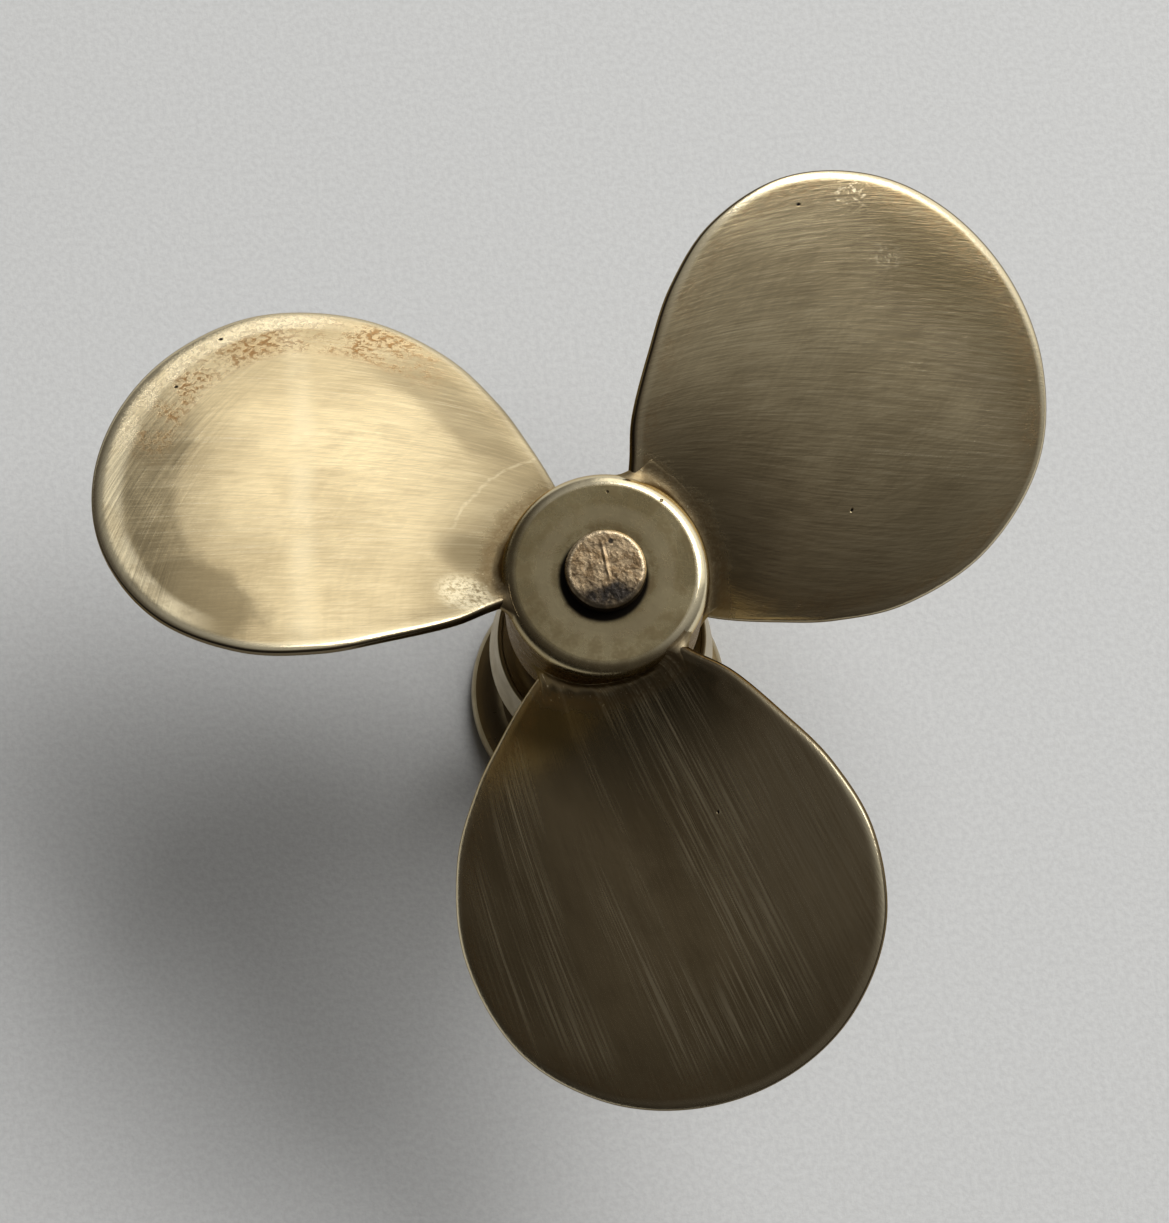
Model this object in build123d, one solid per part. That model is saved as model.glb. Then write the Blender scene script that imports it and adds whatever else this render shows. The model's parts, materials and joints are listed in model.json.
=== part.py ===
"""Three-blade boat propeller on a turned brass bearing stand, in millimetres.

The origin is the centre of the foot's underside, on the propeller's axis. +Z points up,
towards the front face of the hub. The hub, its blades and the shaft turn together about +Z.
"""
from build123d import *
import os
from math import atan2, cos, pi, radians, sin

os.makedirs("parts", exist_ok=True)

# ---- Driving dimensions -------------------------------------------------------------------
SHAFT_R = 6.35                 # half-inch shaft
HUB_R = 16.25
HUB_LENGTH = 30.0
FACE_Z = 110.0                 # front face of the hub above the foot's underside
SHAFT_PROTRUSION = 3.4         # shaft end standing out of the front face
RUNNING_CLEARANCE = 0.05       # radial, shaft in its bushes
THRUST_GAP = 0.15              # axial, washers to bush flanges

# ---- Hub ----------------------------------------------------------------------------------
HUB_AFT_Z = FACE_Z - HUB_LENGTH
HUB_EDGE_R = 2.4               # rounding of the front edge
HUB_AFT_EDGE_R = 0.6

# ---- Blades -------------------------------------------------------------------------------
BLADE_ANGLES = (38.35, 160.76, 279.91)     # set by hand, so not exactly 120 degrees apart
BLADE_TWISTS = (-2.97, 1.91, 1.07)         # small pitch differences between the blades
BLADE_THICKNESS = 2.0
BLADE_MID_Z = FACE_Z - 7.6                 # reference line where it leaves the hub
PITCH_AT_REF = 132.0                       # pitch at the reference radius
PITCH_REF_R = 3 * HUB_R
PITCH_GROWTH = 1.892                       # pitch gained per millimetre of radius
RAKE = 0.193                               # forward lean per millimetre of radius
RAKE_CURVE = -0.00201                      # the lean dies away towards the tip
BLADE_OUTLINE = (                          # radius and chord, from the trailing root round
    (13, -15.5), (20, -22), (28, -28.5), (37.5, -35.5), (49, -41.5), (62, -43), (73.5, -37),
    (80, -25), (82.5, -10.5), (81.5, 5), (77, 18), (68.5, 27.5), (57, 30.5), (45.5, 28),
    (35, 23), (25, 17.5), (18.5, 12.5), (13, 8.5))
OUTLINE_STEPS = 4                          # steps of the curve between two of its points
BLADE_MIDDLE = (56, -6.5)
SHEET_ROOT = (-8, 4)                       # the blade's construction surfaces start this wide,
SHEET_FLARE = 1.1                          # widen by this much per millimetre of radius,
SHEET_LIMITS = (-50, 38)                   # and stop here, clear of the outline
SHEET_RADIUS_STEPS = 14
CHORD_STEPS = 12
FILLET_R = 2.4                             # braze fillet at the blade root
FILLET_END = 1.2                           # how far it runs past the blade's edges
FILLET_TOP_Z = FACE_Z - 1.2                # it stops short of the hub's face
FILLET_THIN = 0.05                         # share of its size that is left at its outer edge
FILLET_INNER_R = HUB_R - 0.8               # construction only, inside the hub
FILLET_RADIUS_STEPS = 8

# ---- Stand --------------------------------------------------------------------------------
FOOT_R = 25.0
FOOT_RIM_R = 24.0              # bright upper rim of the foot
FOOT_RIM_Z = 6.2
FLANGE_R = 19.0                # column flange let into the foot
FLANGE_SEAT_Z = 5.0
FLANGE_TOP_Z = 9.0
FOOT_LOW_R = FOOT_R - 0.8
FOOT_WIDEST_Z = 3.0
STEM_R = 13.0
NECK_R = 12.0
NECK_CHAMFER = 0.5
COVE_TOP_Z = 26.0              # the cove above the flange ends in the stem here
RING_SEAT_Z = 45.0             # shoulder that carries the flared ring
RING_LOW_Z = 47.5
RING_LOW_R = 20.0
RING_TOP_Z = 59.0
RING_TOP_R = 18.3
RING_UNDERSIDE_R = RING_LOW_R - 3.5
RING_BEAD = 1.0                # width of the bead round the ring's top
RING_BEAD_HEIGHT = 0.45
RING_BOSS = 3.0                # rise of the ring's dish where it meets the column

# ---- Bearings and fastenings --------------------------------------------------------------
WASHER_THICKNESS = 1.6
WASHER_BORE_GAP = 0.1
THRUST_WASHER_R = 13.0
END_WASHER_R = 9.8
BUSH_R = 8.5
BUSH_LENGTH = 16.0
BUSH_FLANGE_R = 10.0
BUSH_FLANGE = 2.0
CAVITY_R = 10.6                # room for the nuts below the lower bush
LOWER_FLANGE_Z = 18.0          # underside of the lower bush
THREAD_R = 5.0                 # lower end of the shaft, for the nuts
NUT_FLATS = 16.0
NUT_HEIGHT = 6.0
LOCK_NUT_HEIGHT = 5.0
NUT_CHAMFER = 0.9              # in from the corners
NUT_CHAMFER_HEIGHT = 0.6
SHAFT_LOW_Z = 4.2
SHAFT_TOP_CHAMFER = 0.7
SHAFT_LOW_CHAMFER = 0.8
PLUG_R = 11.6
PLUG_THICKNESS = 1.5
PLUG_CHAMFER = 0.3
KEY_SIZE = 3.0
KEY_LENGTH = 14.0
SET_SCREW_R = 2.5
SET_SCREW_ANGLE = 100.0        # between two blades
SET_SCREW_Z = HUB_AFT_Z + 8.0
SET_SCREW_START = SHAFT_R + KEY_SIZE / 2           # the screw bears on the key
SET_SCREW_LENGTH = HUB_R - 0.4 - SET_SCREW_START   # its end lies just inside the barrel
SET_SCREW_CHAMFER = 0.4
SET_SCREW_SOCKET_R = 1.45
SET_SCREW_SOCKET_DEPTH = 2.6
FOOT_SCREW_R = 2.0
FOOT_SCREW_HEAD_R = 3.8
FOOT_SCREW_CIRCLE_R = 15.4
FOOT_SCREW_TOP_Z = 8.6
FOOT_SCREW_SOCKET_R = 1.4
FOOT_SCREW_SOCKET_DEPTH = 1.8
FOOT_SCREW_START = 30.0        # angle of the first of the three

WASHER_TOP_Z = HUB_AFT_Z
COLUMN_TOP_Z = WASHER_TOP_Z - WASHER_THICKNESS - THRUST_GAP - BUSH_FLANGE
THREAD_TOP_Z = LOWER_FLANGE_Z - THRUST_GAP


def turned(*edges):
    """A solid of revolution about Z from a closed profile drawn in the XZ plane."""
    return revolve(make_face(edges), Axis.Z)


def tube(outer, inner, low, high):
    """A plain ring from height low to height high."""
    ring = Cylinder(outer, high - low, align=(Align.CENTER, Align.CENTER, Align.MIN))
    if inner:
        ring -= Cylinder(inner, high - low, align=(Align.CENTER, Align.CENTER, Align.MIN))
    return Pos(0, 0, low) * ring


def xz(radius, height):
    return (radius, 0, height)


def steps_between(first, last, count):
    return [first + (last - first) * n / count for n in range(count + 1)]


def hub_barrel():
    """The hub's outer shape, before it is bored."""
    barrel = tube(HUB_R, 0, HUB_AFT_Z, FACE_Z)
    barrel = fillet(barrel.edges().filter_by(GeomType.CIRCLE).sort_by(Axis.Z)[-1], HUB_EDGE_R)
    return fillet(barrel.edges().filter_by(GeomType.CIRCLE).sort_by(Axis.Z)[0], HUB_AFT_EDGE_R)


# ---- Blade geometry -----------------------------------------------------------------------
def blade_point(radius, chord, twist):
    """A point of the blade's middle surface; chord runs anticlockwise and forward."""
    pitch = PITCH_AT_REF + PITCH_GROWTH * (radius - PITCH_REF_R)
    slope = atan2(pitch, 2 * pi * radius) + radians(twist)
    turn = chord * cos(slope) / radius
    reach = radius - HUB_R
    height = BLADE_MID_Z + chord * sin(slope) + RAKE * reach + RAKE_CURVE * reach**2
    return Vector(radius * cos(turn), radius * sin(turn), height)


def curve_through(points, steps):
    """A smooth curve through the points (Catmull-Rom), with steps places between two."""
    ends = [(2 * p[0] - q[0], 2 * p[1] - q[1]) for p, q in (points[:2], points[:-3:-1])]
    path = [ends[0], *points, ends[1]]
    curve = []
    for before, this, after, beyond in zip(path, path[1:], path[2:], path[3:]):
        for n in range(steps):
            t = n / steps
            curve.append(tuple(
                0.5 * (2 * this[k] + (after[k] - before[k]) * t
                       + (2 * before[k] - 5 * this[k] + 4 * after[k] - beyond[k]) * t**2
                       + (3 * this[k] - before[k] - 3 * after[k] + beyond[k]) * t**3)
                for k in (0, 1)))
    return curve + [points[-1]]


def flank_chord(radius, side):
    """Chord of the outline at a radius near the root; side 0 trails, side 1 leads."""
    curve = curve_through(BLADE_OUTLINE, OUTLINE_STEPS)[::-1 if side else 1]
    for (r, c), (next_r, next_c) in zip(curve, curve[1:]):
        if next_r >= radius:
            return c + (radius - r) / (next_r - r) * (next_c - c)


def blade_normal(radius, chord, twist):
    """Unit normal of the middle surface, on its forward side."""
    step = 0.1
    out = blade_point(radius + step, chord, twist) - blade_point(radius - step, chord, twist)
    across = blade_point(radius, chord + step, twist) - blade_point(radius, chord - step, twist)
    return out.cross(across).normalized()


def offset_sheet(radii, chord_range, offset, twist):
    """The middle surface moved along its normals by offset(radius)."""
    grid = []
    for radius in radii:
        low, high = chord_range(radius)
        chords = steps_between(low, high, CHORD_STEPS)
        grid.append([blade_point(radius, chord, twist)
                     + blade_normal(radius, chord, twist) * offset(radius) for chord in chords])
    return Face.make_surface_from_array_of_points(grid, tol=0.002)


def twisted_plate(radii, chord_range, half_thickness, twist):
    """A solid between two offset sheets, closed by ruled strips between their edges."""
    front = offset_sheet(radii, chord_range, half_thickness, twist)
    back = offset_sheet(radii, chord_range, lambda radius: -half_thickness(radius), twist)
    strips = [Face.make_surface_from_curves(edge, mate)
              for edge, mate in zip(front.edges(), back.edges())]
    return Solid(Shell([front, back, *strips]))


def outline_prism(twist):
    """A thick slug with the blade's outline, standing square to the middle of the blade."""
    middle = blade_point(*BLADE_MIDDLE, twist)
    plane = Plane(origin=middle, x_dir=(1, 0, 0), z_dir=blade_normal(*BLADE_MIDDLE, twist))
    points = []
    for radius, chord in curve_through(BLADE_OUTLINE, OUTLINE_STEPS):
        local = plane.to_local_coords(blade_point(radius, chord, twist))
        points.append((local.X, local.Y))
    outline = make_face([Spline(*points), Line(points[-1], points[0])])
    return extrude(plane * outline, HUB_LENGTH, both=True)


def blade(twist):
    """One blade in place on the hub, pointing along +X before it is turned to its angle."""
    first = BLADE_OUTLINE[0][0]
    last = max(radius for radius, chord in BLADE_OUTLINE) + 2 * BLADE_THICKNESS
    radii = steps_between(first, last, SHEET_RADIUS_STEPS)

    def chords(radius):
        flare = SHEET_FLARE * radius
        return max(SHEET_LIMITS[0], SHEET_ROOT[0] - flare), min(SHEET_LIMITS[1], SHEET_ROOT[1] + flare)

    plate = twisted_plate(radii, chords, lambda radius: BLADE_THICKNESS / 2, twist)
    return (plate & outline_prism(twist)) - hub_barrel()


def root_fillet(twist, blade_solid):
    """The run of braze metal round a blade's root, concave between hub and blade."""
    radii = steps_between(FILLET_INNER_R, HUB_R + FILLET_R, FILLET_RADIUS_STEPS)

    def chords(radius):
        return flank_chord(radius, 0) - FILLET_END, flank_chord(radius, 1) + FILLET_END

    def half_thickness(radius):
        share = (radius - HUB_R) / FILLET_R
        return BLADE_THICKNESS / 2 + FILLET_R * (FILLET_THIN + (1 - FILLET_THIN) * (1 - share)**2)

    bead = twisted_plate(radii, chords, half_thickness, twist)
    bead -= hub_barrel()
    bead -= blade_solid
    return bead & tube(3 * HUB_R, 0, HUB_AFT_Z, FILLET_TOP_Z)


# ---- Rotor --------------------------------------------------------------------------------
def hub():
    """Plain barrel hub with a keyway from its aft end and a tapped hole for the set screw."""
    body = hub_barrel() - tube(SHAFT_R, 0, HUB_AFT_Z, FACE_Z)
    body -= shaft_key()
    return body - set_screw_blank()


def shaft():
    """Propeller shaft: plain journal, keyway at the hub, thread diameter for the nuts."""
    top = FACE_Z + SHAFT_PROTRUSION
    body = tube(SHAFT_R, 0, THREAD_TOP_Z, top)
    rim = body.edges().filter_by(GeomType.CIRCLE).sort_by(Axis.Z)[-1]
    body = chamfer(rim, SHAFT_TOP_CHAMFER)
    body += tube(THREAD_R, 0, SHAFT_LOW_Z, THREAD_TOP_Z)
    low = body.edges().filter_by(GeomType.CIRCLE).sort_by(Axis.Z)[0]
    body = chamfer(low, SHAFT_LOW_CHAMFER)
    return body - shaft_key()


def shaft_key():
    """Square key, half in the shaft and half in the hub."""
    blank = Box(KEY_SIZE, KEY_SIZE, KEY_LENGTH, align=(Align.CENTER, Align.CENTER, Align.MIN))
    return Rot(0, 0, SET_SCREW_ANGLE) * Pos(SHAFT_R, 0, HUB_AFT_Z) * blank


def set_screw_place():
    return Rot(0, 0, SET_SCREW_ANGLE) * Pos(SET_SCREW_START, 0, SET_SCREW_Z) * Rot(0, 90, 0)


def set_screw_rod(length):
    return Cylinder(SET_SCREW_R, length, align=(Align.CENTER, Align.CENTER, Align.MIN))


def set_screw_blank():
    """The hole of the set screw, from the key out through the hub's side."""
    return set_screw_place() * set_screw_rod(SET_SCREW_LENGTH + SET_SCREW_R)


def set_screw():
    """Socket set screw that bears on the key."""
    rod = set_screw_rod(SET_SCREW_LENGTH)
    rod = chamfer(rod.edges().filter_by(GeomType.CIRCLE), SET_SCREW_CHAMFER)
    socket = extrude(RegularPolygon(SET_SCREW_SOCKET_R, 6), SET_SCREW_SOCKET_DEPTH)
    rod -= Pos(0, 0, SET_SCREW_LENGTH - SET_SCREW_SOCKET_DEPTH) * socket
    return set_screw_place() * rod


def hex_nut(low, height):
    """Plain hexagon nut on the shaft's lower end, chamfered at its corners."""
    corner_r = NUT_FLATS / 2 / cos(pi / 6)
    prism = extrude(RegularPolygon(corner_r, 6), height)
    face_r = corner_r - NUT_CHAMFER
    cone = turned(*Polyline(xz(0, 0), xz(face_r, 0), xz(corner_r, NUT_CHAMFER_HEIGHT),
                            xz(corner_r, height - NUT_CHAMFER_HEIGHT), xz(face_r, height),
                            xz(0, height), close=True).edges())
    nut = (prism & cone) - Cylinder(THREAD_R, 4 * height)
    return Pos(0, 0, low) * nut


# ---- Stand --------------------------------------------------------------------------------
def column():
    """Turned column: flange let into the foot, cove, stem, ring seat and neck."""
    outline = Polyline(xz(0, FLANGE_SEAT_Z), xz(FLANGE_R, FLANGE_SEAT_Z),
                       xz(FLANGE_R, FLANGE_TOP_Z))
    cove = Bezier(xz(FLANGE_R, FLANGE_TOP_Z), xz(STEM_R, FLANGE_TOP_Z + 2),
                  xz(STEM_R, COVE_TOP_Z))
    upper = Polyline(xz(STEM_R, COVE_TOP_Z), xz(STEM_R, RING_SEAT_Z), xz(NECK_R, RING_SEAT_Z),
                     xz(NECK_R, COLUMN_TOP_Z - NECK_CHAMFER),
                     xz(NECK_R - NECK_CHAMFER, COLUMN_TOP_Z),
                     xz(0, COLUMN_TOP_Z), xz(0, FLANGE_SEAT_Z))
    body = turned(*outline.edges(), cove, *upper.edges())
    body -= tube(CAVITY_R, 0, 0, LOWER_FLANGE_Z + BUSH_FLANGE)
    body -= tube(BUSH_R, 0, 0, FACE_Z)
    for hole in foot_screw_places():
        body -= hole * foot_screw_blank()
    return body


def flared_ring():
    """Separate flared ring on the column, with a small bead round its top."""
    side = Bezier(xz(RING_LOW_R, RING_LOW_Z), xz(RING_LOW_R - 1.1, RING_LOW_Z + 5),
                  xz(RING_TOP_R, RING_TOP_Z))
    low = Polyline(xz(NECK_R, RING_SEAT_Z), xz(RING_UNDERSIDE_R, RING_SEAT_Z),
                   xz(RING_LOW_R, RING_LOW_Z))
    bead_r = RING_TOP_R - RING_BEAD
    crown = xz((RING_TOP_R + bead_r) / 2, RING_TOP_Z + RING_BEAD_HEIGHT)
    bead = ThreePointArc(xz(RING_TOP_R, RING_TOP_Z), crown, xz(bead_r, RING_TOP_Z))
    dish = Bezier(xz(bead_r, RING_TOP_Z), xz(NECK_R + 2, RING_TOP_Z - 1.2),
                  xz(NECK_R, RING_TOP_Z + RING_BOSS))
    back = Line(xz(NECK_R, RING_TOP_Z + RING_BOSS), xz(NECK_R, RING_SEAT_Z))
    return turned(*low.edges(), side, bead, dish, back)


def foot():
    """Foot disc: bulged rim, hollowed top that runs up to the column, recesses below."""
    rim = ThreePointArc(xz(FOOT_LOW_R, 0), xz(FOOT_R, FOOT_WIDEST_Z), xz(FOOT_RIM_R, FOOT_RIM_Z))
    top = Bezier(xz(FOOT_RIM_R, FOOT_RIM_Z), xz(FLANGE_R + 2, FOOT_RIM_Z + 0.3),
                 xz(FLANGE_R, FLANGE_TOP_Z))
    rest = Polyline(xz(FLANGE_R, FLANGE_TOP_Z), xz(FLANGE_R, FLANGE_SEAT_Z),
                    xz(0, FLANGE_SEAT_Z), xz(0, 0), xz(FOOT_LOW_R, 0))
    body = turned(rim, top, *rest.edges())
    body -= tube(CAVITY_R, 0, 0, FLANGE_SEAT_Z)
    body -= tube(PLUG_R, 0, 0, PLUG_THICKNESS)
    for hole in foot_screw_places():
        body -= hole * foot_screw_blank()
    return body


def bush(low, flange_up):
    """Flanged bearing bush for the shaft."""
    body = tube(BUSH_R, SHAFT_R + RUNNING_CLEARANCE, 0, BUSH_LENGTH)
    body += tube(BUSH_FLANGE_R, SHAFT_R + RUNNING_CLEARANCE, BUSH_LENGTH,
                 BUSH_LENGTH + BUSH_FLANGE)
    if not flange_up:
        body = Rot(180, 0, 0) * Pos(0, 0, -BUSH_LENGTH - BUSH_FLANGE) * body
    return Pos(0, 0, low) * body


def foot_screw_blank():
    """The space of one countersunk screw, head flush with the foot's underside."""
    head = FOOT_SCREW_HEAD_R - FOOT_SCREW_R
    points = [xz(0, 0), xz(FOOT_SCREW_HEAD_R, 0), xz(FOOT_SCREW_R, head),
              xz(FOOT_SCREW_R, FOOT_SCREW_TOP_Z), xz(0, FOOT_SCREW_TOP_Z)]
    return turned(*Polyline(*points, close=True).edges())


def foot_screw():
    """Countersunk screw with a hexagon socket."""
    socket = extrude(RegularPolygon(FOOT_SCREW_SOCKET_R, 6), FOOT_SCREW_SOCKET_DEPTH)
    return foot_screw_blank() - socket


def foot_screw_places():
    return [Rot(0, 0, FOOT_SCREW_START + 120 * n) * Pos(FOOT_SCREW_CIRCLE_R, 0, 0)
            for n in range(3)]


def cover_plug():
    """Plain disc pressed into the foot's underside, closing the nut cavity."""
    disc = tube(PLUG_R, 0, 0, PLUG_THICKNESS)
    return chamfer(disc.edges().group_by(Axis.Z)[-1], PLUG_CHAMFER)


def save(shape, name):
    export_step(shape, "parts/" + name + ".step")


def save_rotor():
    for number, (angle, twist) in enumerate(zip(BLADE_ANGLES, BLADE_TWISTS), 1):
        solid = blade(twist)
        save(Rot(0, 0, angle) * solid, f"blade_{number}")
        save(Rot(0, 0, angle) * root_fillet(twist, solid), f"root_fillet_{number}")
    save(hub(), "hub")
    save(shaft(), "propeller_shaft")
    save(shaft_key(), "shaft_key")
    save(set_screw(), "hub_set_screw")
    save(tube(THRUST_WASHER_R, SHAFT_R + WASHER_BORE_GAP, WASHER_TOP_Z - WASHER_THICKNESS,
              WASHER_TOP_Z), "thrust_washer")
    nut_top = THREAD_TOP_Z - WASHER_THICKNESS
    save(tube(END_WASHER_R, THREAD_R + WASHER_BORE_GAP, nut_top, THREAD_TOP_Z), "end_washer")
    save(hex_nut(nut_top - NUT_HEIGHT, NUT_HEIGHT), "retaining_nut")
    save(hex_nut(nut_top - NUT_HEIGHT - LOCK_NUT_HEIGHT, LOCK_NUT_HEIGHT), "lock_nut")


def save_stand():
    save(column(), "stand_column")
    save(flared_ring(), "flared_ring")
    save(foot(), "foot_disc")
    save(bush(COLUMN_TOP_Z - BUSH_LENGTH, True), "upper_bush")
    save(bush(LOWER_FLANGE_Z, False), "lower_bush")
    save(cover_plug(), "cover_plug")
    save(Compound([place * foot_screw() for place in foot_screw_places()]), "foot_screws")


save_rotor()
save_stand()
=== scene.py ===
"""Looks of the brass boat propeller on its turned stand.

Lengths in this script are metres, except where a comment or a docstring says millimetres. The
blade formulas repeat those of the CAD model, so each visual blade lies where its CAD solid does,
with rounded edges and uneven braze at its root.
"""
import json
from math import atan2, cos, hypot, pi, radians, sin, sqrt

import bmesh
import bpy
from mathutils import Euler, Matrix, Vector, noise


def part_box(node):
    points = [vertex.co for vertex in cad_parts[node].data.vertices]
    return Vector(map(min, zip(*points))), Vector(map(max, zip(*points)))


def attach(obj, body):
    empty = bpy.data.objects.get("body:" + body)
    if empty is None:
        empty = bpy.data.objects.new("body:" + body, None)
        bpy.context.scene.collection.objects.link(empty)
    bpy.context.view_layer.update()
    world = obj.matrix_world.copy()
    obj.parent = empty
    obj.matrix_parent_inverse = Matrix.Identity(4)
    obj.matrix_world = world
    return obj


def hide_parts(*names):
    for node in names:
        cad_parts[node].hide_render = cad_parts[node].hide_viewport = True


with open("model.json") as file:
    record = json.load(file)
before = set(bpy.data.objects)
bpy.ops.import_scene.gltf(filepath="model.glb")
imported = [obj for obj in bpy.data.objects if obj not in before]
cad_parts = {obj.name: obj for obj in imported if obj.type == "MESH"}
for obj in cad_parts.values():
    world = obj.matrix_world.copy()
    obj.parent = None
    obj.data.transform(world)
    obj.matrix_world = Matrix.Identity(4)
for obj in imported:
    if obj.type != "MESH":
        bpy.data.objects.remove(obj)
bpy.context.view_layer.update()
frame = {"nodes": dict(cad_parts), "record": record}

MM = 0.001

# ---- Sizes of the CAD model ---------------------------------------------------------------
hub_low, hub_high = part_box("hub")
shaft_low, shaft_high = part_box("propeller_shaft")
HUB_R = (hub_high.x - hub_low.x) / 2
FACE_Z = hub_high.z
HUB_EDGE_R = 2.4 * MM

SHAFT_R = 6.35 * MM
THREAD_R = 5.0 * MM
THREAD_LENGTH = 13.65 * MM
THREAD_CHAMFER = 0.8 * MM

BLADE_ANGLES = (38.35, 160.76, 279.91)   # of blades 1 to 3 round the axis, in degrees
BLADE_TWISTS = (-2.97, 1.91, 1.07)       # each blade's own error in twist, in degrees
BLADE_THICKNESS = 2.0 * MM
BLADE_MID_Z = FACE_Z - 7.6 * MM
PITCH_AT_REF = 132.0 * MM
PITCH_REF_R = 3 * HUB_R
PITCH_GROWTH = 1.892           # rise of the pitch for each unit of radius
RAKE = 0.193                   # rise of the blade's middle for each unit of reach
RAKE_CURVE = -2.01             # and for each unit of reach squared, per metre
BLADE_OUTLINE = (                # radius and chord in millimetres, from the trailing root round
    (13, -15.5), (20, -22), (28, -28.5), (37.5, -35.5), (49, -41.5), (62, -43), (73.5, -37),
    (80, -25), (82.5, -10.5), (81.5, 5), (77, 18), (68.5, 27.5), (57, 30.5), (45.5, 28),
    (35, 23), (25, 17.5), (18.5, 12.5), (13, 8.5))
SPINE = ((13, -3.5), (68, -6.5))  # line along the middle of a blade, in millimetres

# ---- Sizes that only the visual pieces have -----------------------------------------------
EDGE_WIDTH = 2.1 * MM          # rounding of the blades' edges, in from the rim
EDGE_DEPTH = 0.75 * MM         # and down from each face
EDGE_STEPS = 10
FLAT_DEPTHS = (2.4, 2.8, 3.2, 3.8)   # rows of points just inside the rounding, in millimetres
SPINE_STEPS = 28               # rows from there to the spine
SPINE_CROWDING = 1.15          # above one, those rows lie closer together near the rim
RIM_HALF = 150                 # points from the root to the tip along a blade's outline
LIP_WIDTH = 5.0 * MM           # raised lip along the blades' edges
LIP_HEIGHTS = (-0.05 * MM, 0.16 * MM, -0.05 * MM)   # of blades 1 to 3; below zero it falls off

BEAD_R = 2.7 * MM              # mean size of the braze bead
BEAD_REACH = 2.0 * MM          # how far its thin outer edge runs out over the blade
BEAD_DEPTH = 9.0 * MM          # depth in from the rim that its material reads: no worn edge
BEAD_STEPS = 10                # points across the bead
BEAD_SIDE_STATIONS = 60        # places along each face of the blade
BEAD_END_STATIONS = 16         # and round each of its edges

END_BEVEL = 0.62 * MM          # worn bevel of the shaft's free end
END_BEVEL_DROP = 0.75 * MM     # from the CAD shaft's top down to the bevel's lower edge
END_ROUGH_LENGTH = 1.2 * MM    # how far down the shaft's side the rough shape fades out
END_RINGS = 26                 # rings of points across the end face
SHAFT_SEGMENTS = 160


# ---- Small helpers ------------------------------------------------------------------------
def clamp(value):
    return min(1.0, max(0.0, value))


def add_mesh(name, points, faces, sharp_angle=None, closed=True, places=None):
    """A smooth-shaded object; a closed one has doubled points merged and faces turned out.

    places gives each point a vector that its material can read as the attribute "place".
    """
    mesh = bpy.data.meshes.new(name)
    mesh.from_pydata([tuple(p) for p in points], [], faces)
    if places:
        marks = mesh.attributes.new("place", "FLOAT_VECTOR", "POINT")
        marks.data.foreach_set("vector", [value for place in places for value in place])
    if closed:
        work = bmesh.new()
        work.from_mesh(mesh)
        bmesh.ops.remove_doubles(work, verts=work.verts, dist=0.0005 * MM)
        bmesh.ops.recalc_face_normals(work, faces=work.faces)
        work.to_mesh(mesh)
        work.free()
    mesh.validate()
    mesh.shade_smooth()
    if sharp_angle is not None:
        mesh.set_sharp_from_angle(angle=radians(sharp_angle))
    piece = bpy.data.objects.new(name, mesh)
    bpy.context.scene.collection.objects.link(piece)
    return piece


def loops_to_faces(loop_count, loop_size, closed_across=False):
    """Quads between consecutive closed loops of points."""
    faces = []
    for row in range(loop_count if closed_across else loop_count - 1):
        this, after = row * loop_size, ((row + 1) % loop_count) * loop_size
        for k in range(loop_size):
            n = (k + 1) % loop_size
            faces.append((this + k, this + n, after + n, after + k))
    return faces


def smooth_noise(point, scale, octaves=3):
    """Fractal noise from about -1 to 1 that depends only on the place."""
    return noise.fractal(point / scale, 1.0, 2.0, octaves)


# ---- Blade geometry -----------------------------------------------------------------------
def blade_point(radius, chord, twist):
    """A point of the blade's middle surface; chord runs anticlockwise and forward."""
    pitch = PITCH_AT_REF + PITCH_GROWTH * (radius - PITCH_REF_R)
    slope = atan2(pitch, 2 * pi * radius) + radians(twist)
    turn = chord * cos(slope) / radius
    reach = radius - HUB_R
    height = BLADE_MID_Z + chord * sin(slope) + RAKE * reach + RAKE_CURVE * reach**2
    return Vector((radius * cos(turn), radius * sin(turn), height))


def blade_normal(radius, chord, twist):
    """The direction out of the blade's front."""
    step = 0.1 * MM
    out = blade_point(radius + step, chord, twist) - blade_point(radius - step, chord, twist)
    across = blade_point(radius, chord + step, twist) - blade_point(radius, chord - step, twist)
    return out.cross(across).normalized()


def curve_through(points, steps):
    """A smooth curve through the points (Catmull-Rom), with steps places between two."""
    ends = [(2 * p[0] - q[0], 2 * p[1] - q[1]) for p, q in (points[:2], points[:-3:-1])]
    path = [ends[0], *points, ends[1]]
    curve = []
    for before, this, after, beyond in zip(path, path[1:], path[2:], path[3:]):
        for n in range(steps):
            t = n / steps
            curve.append(tuple(
                0.5 * (2 * this[k] + (after[k] - before[k]) * t
                       + (2 * before[k] - 5 * this[k] + 4 * after[k] - beyond[k]) * t**2
                       + (3 * this[k] - before[k] - 3 * after[k] + beyond[k]) * t**3)
                for k in (0, 1)))
    return curve + [points[-1]]


def flank_chord(radius, side):
    """Chord of the outline at a radius near the root; side 0 trails, side 1 leads."""
    curve = [(r * MM, c * MM) for r, c in curve_through(BLADE_OUTLINE, 8)][::-1 if side else 1]
    for (r, c), (next_r, next_c) in zip(curve, curve[1:]):
        if next_r >= radius:
            return c + (radius - r) / (next_r - r) * (next_c - c)


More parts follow.
